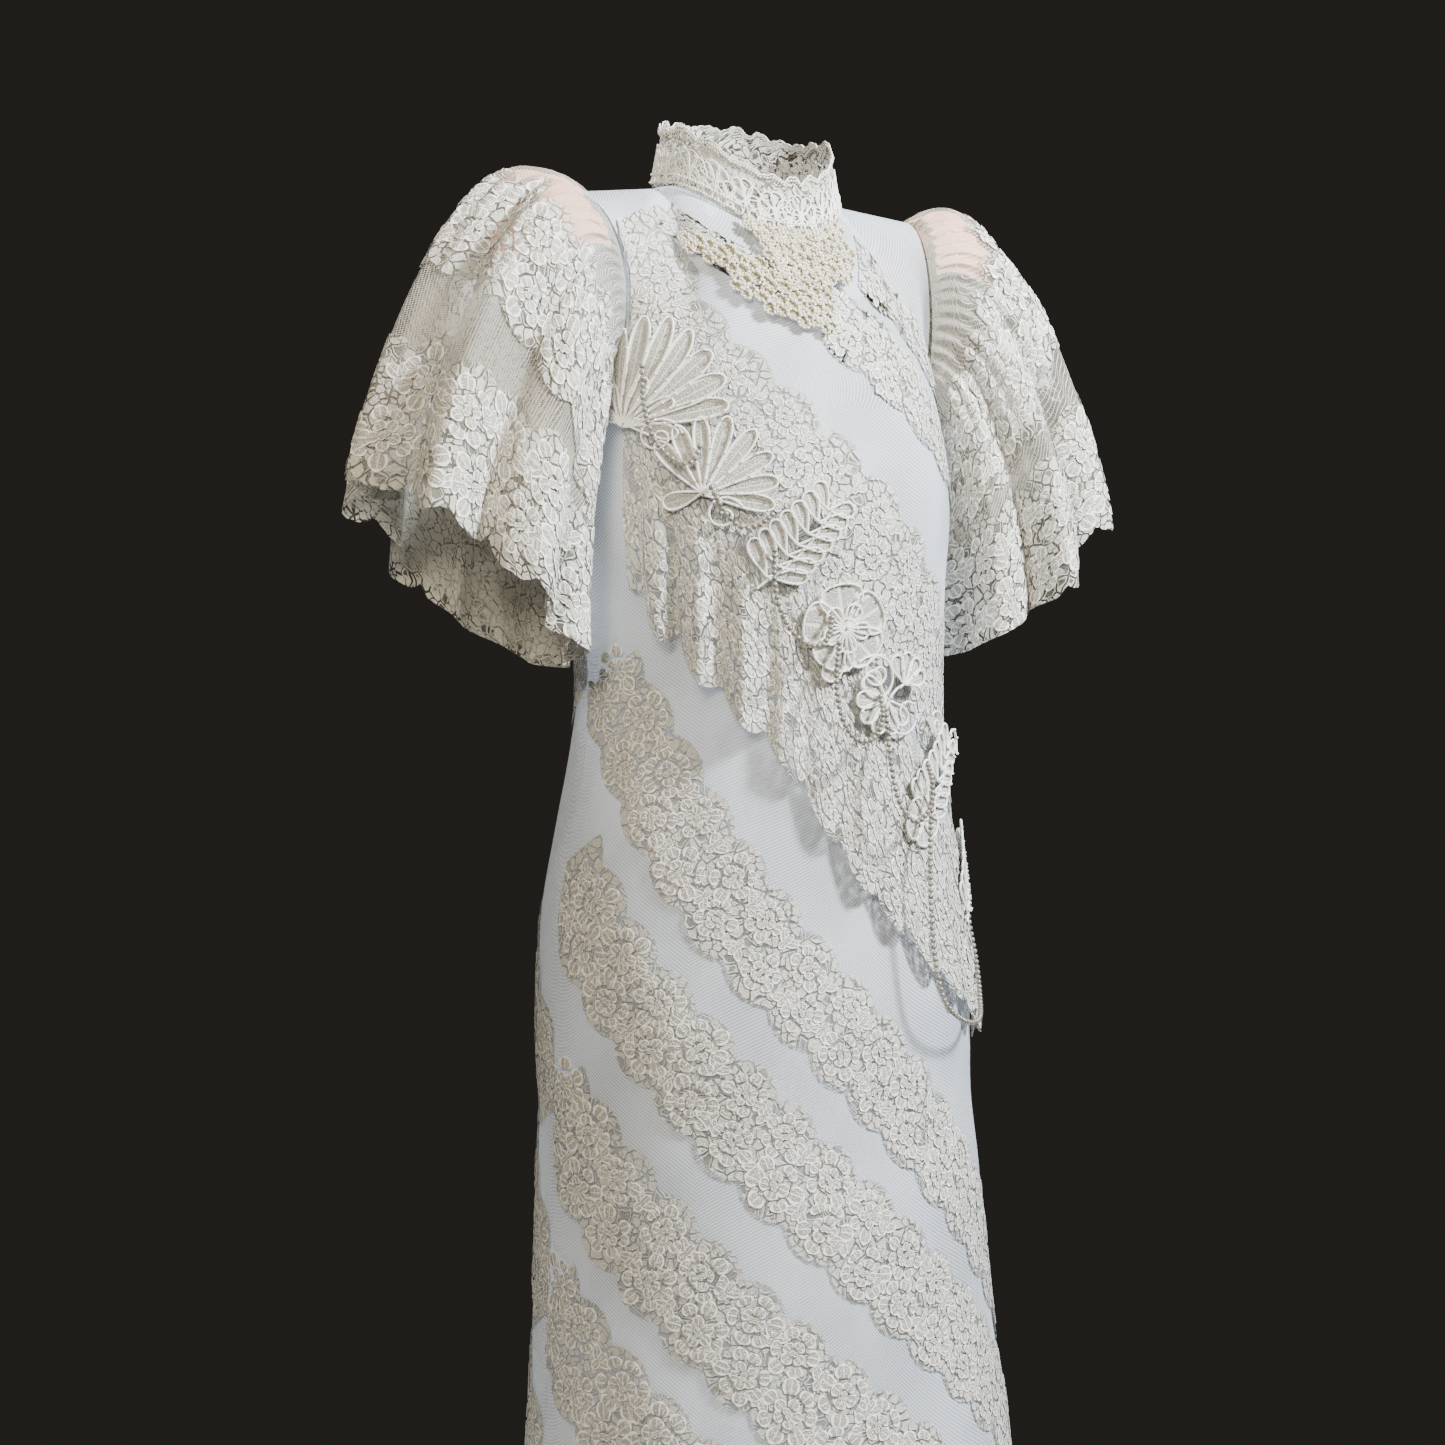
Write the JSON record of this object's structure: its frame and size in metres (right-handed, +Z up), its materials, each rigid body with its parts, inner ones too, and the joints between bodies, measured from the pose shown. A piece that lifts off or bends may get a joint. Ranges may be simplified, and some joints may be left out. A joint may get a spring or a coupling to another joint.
{
  "type": "wedding dress",
  "caption": "Full-length wedding dress: sheer net sheath with slanting lace bands, stand lace collar, flutter sleeves, gathered lace flounce, corded motifs and pearl swags.",
  "frame": {"origin": "midway between the shoulders, at the height where a dress form's neck meets its shoulders, in the plane of the shoulder seams", "axes": "+Z up, the dress front faces -Y, the wearer's left is at +X"},
  "size_m": [0.7007, 0.3687, 1.4556],
  "materials": {
    "net": "sheer ivory net, matt",
    "lace": "ivory galloon lace, matt",
    "corded_lace": "white corded lace with small sequins, soft sheen",
    "neck_lace": "cream beaded lace, soft sheen",
    "peach_net": "peach net, matt",
    "pearl": "pearl lustre",
    "covered_button": "satin"
  },
  "bodies": {
    "root": {"back_panel_left": "net", "back_panel_right": "net", "button_1": "covered_button", "button_2": "covered_button", "button_3": "covered_button", "button_4": "covered_button", "button_5": "covered_button", "collar": "corded_lace", "flounce": "lace", "front_panel": "net", "lace_band_back_left_ankle": "lace", "lace_band_back_left_calf": "lace", "lace_band_back_left_hip": "lace", "lace_band_back_left_knee": "lace", "lace_band_back_left_seat": "lace", "lace_band_back_left_shoulder_blade": "lace", "lace_band_back_left_thigh": "lace", "lace_band_back_left_waist": "lace", "lace_band_back_right_calf": "lace", "lace_band_back_right_hip": "lace", "lace_band_back_right_knee": "lace", "lace_band_back_right_seat": "lace", "lace_band_back_right_shoulder_blade": "lace", "lace_band_back_right_thigh": "lace", "lace_band_back_right_waist": "lace", "lace_band_front_ankle": "lace", "lace_band_front_calf": "lace", "lace_band_front_chest": "lace", "lace_band_front_hip": "lace", "lace_band_front_knee": "lace", "lace_band_front_left_chest": "lace", "lace_band_front_left_shoulder": "lace", "lace_band_front_thigh": "lace", "lace_band_front_waist": "lace", "motif_fan": "corded_lace", "motif_flower": "corded_lace", "motif_hip": "corded_lace", "motif_leaf": "corded_lace", "motif_neck_left": "neck_lace", "motif_neck_right": "neck_lace", "motif_scroll": "corded_lace", "motif_shell": "corded_lace", "motif_spray": "corded_lace", "pearl_swag_armhole": "pearl", "pearl_swag_bust": "pearl", "pearl_swag_flower": "pearl", "pearl_swag_hip": "pearl", "pearl_swag_scroll": "pearl", "pearl_swag_shell": "pearl", "sleeve_head_stay_left": "peach_net", "sleeve_head_stay_right": "peach_net", "sleeve_left": "net", "sleeve_left_lace_lower": "lace", "sleeve_left_lace_upper": "lace", "sleeve_right": "net", "sleeve_right_lace_lower": "lace", "sleeve_right_lace_upper": "lace"}
  },
  "joints": []
}
